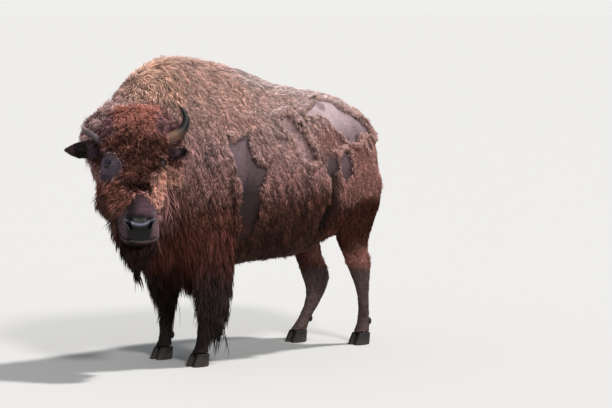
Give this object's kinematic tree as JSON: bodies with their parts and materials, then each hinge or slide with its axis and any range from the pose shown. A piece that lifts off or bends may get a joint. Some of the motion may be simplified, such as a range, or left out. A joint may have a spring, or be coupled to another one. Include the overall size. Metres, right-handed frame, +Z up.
{
  "type": "american bison",
  "caption": "Still life-size model of a standing american bison cow in summer moult, its head turned to its left, resting on its hooves",
  "frame": {"origin": "on the floor, under the middle of the whole animal's bounding box", "axes": "+Z up, -Y where the trunk faces, +X the animal's left side; the head is turned to its left"},
  "size_m": [0.7322, 1.9912, 1.5687],
  "materials": {
    "wool": "matte woolly hair",
    "dark_hair": "matte long hair",
    "horn": "satin keratin",
    "hoof": "matte keratin",
    "eye": "wet gloss"
  },
  "bodies": {
    "root": {"barrel": "wool", "beard": "dark_hair", "chaps_left": "dark_hair", "chaps_right": "dark_hair", "dewclaw_foreleg_left_inner": "hoof", "dewclaw_foreleg_left_outer": "hoof", "dewclaw_foreleg_right_inner": "hoof", "dewclaw_foreleg_right_outer": "hoof", "dewclaw_hindleg_left_inner": "hoof", "dewclaw_hindleg_left_outer": "hoof", "dewclaw_hindleg_right_inner": "hoof", "dewclaw_hindleg_right_outer": "hoof", "ear_left": "wool", "ear_right": "wool", "eye_left": "eye", "eye_right": "eye", "foreleg_left_lower": "dark_hair", "foreleg_left_upper": "wool", "foreleg_right_lower": "dark_hair", "foreleg_right_upper": "wool", "haunches": "wool", "head": "wool", "hindleg_left_lower": "dark_hair", "hindleg_left_upper": "wool", "hindleg_right_lower": "dark_hair", "hindleg_right_upper": "wool", "hoof_foreleg_left_inner": "hoof", "hoof_foreleg_left_outer": "hoof", "hoof_foreleg_right_inner": "hoof", "hoof_foreleg_right_outer": "hoof", "hoof_hindleg_left_inner": "hoof", "hoof_hindleg_left_outer": "hoof", "hoof_hindleg_right_inner": "hoof", "hoof_hindleg_right_outer": "hoof", "horn_left": "horn", "horn_right": "horn", "jaw": "wool", "neck": "wool", "shoulders": "wool", "tail": "wool", "tail_tuft": "dark_hair"}
  },
  "joints": []
}
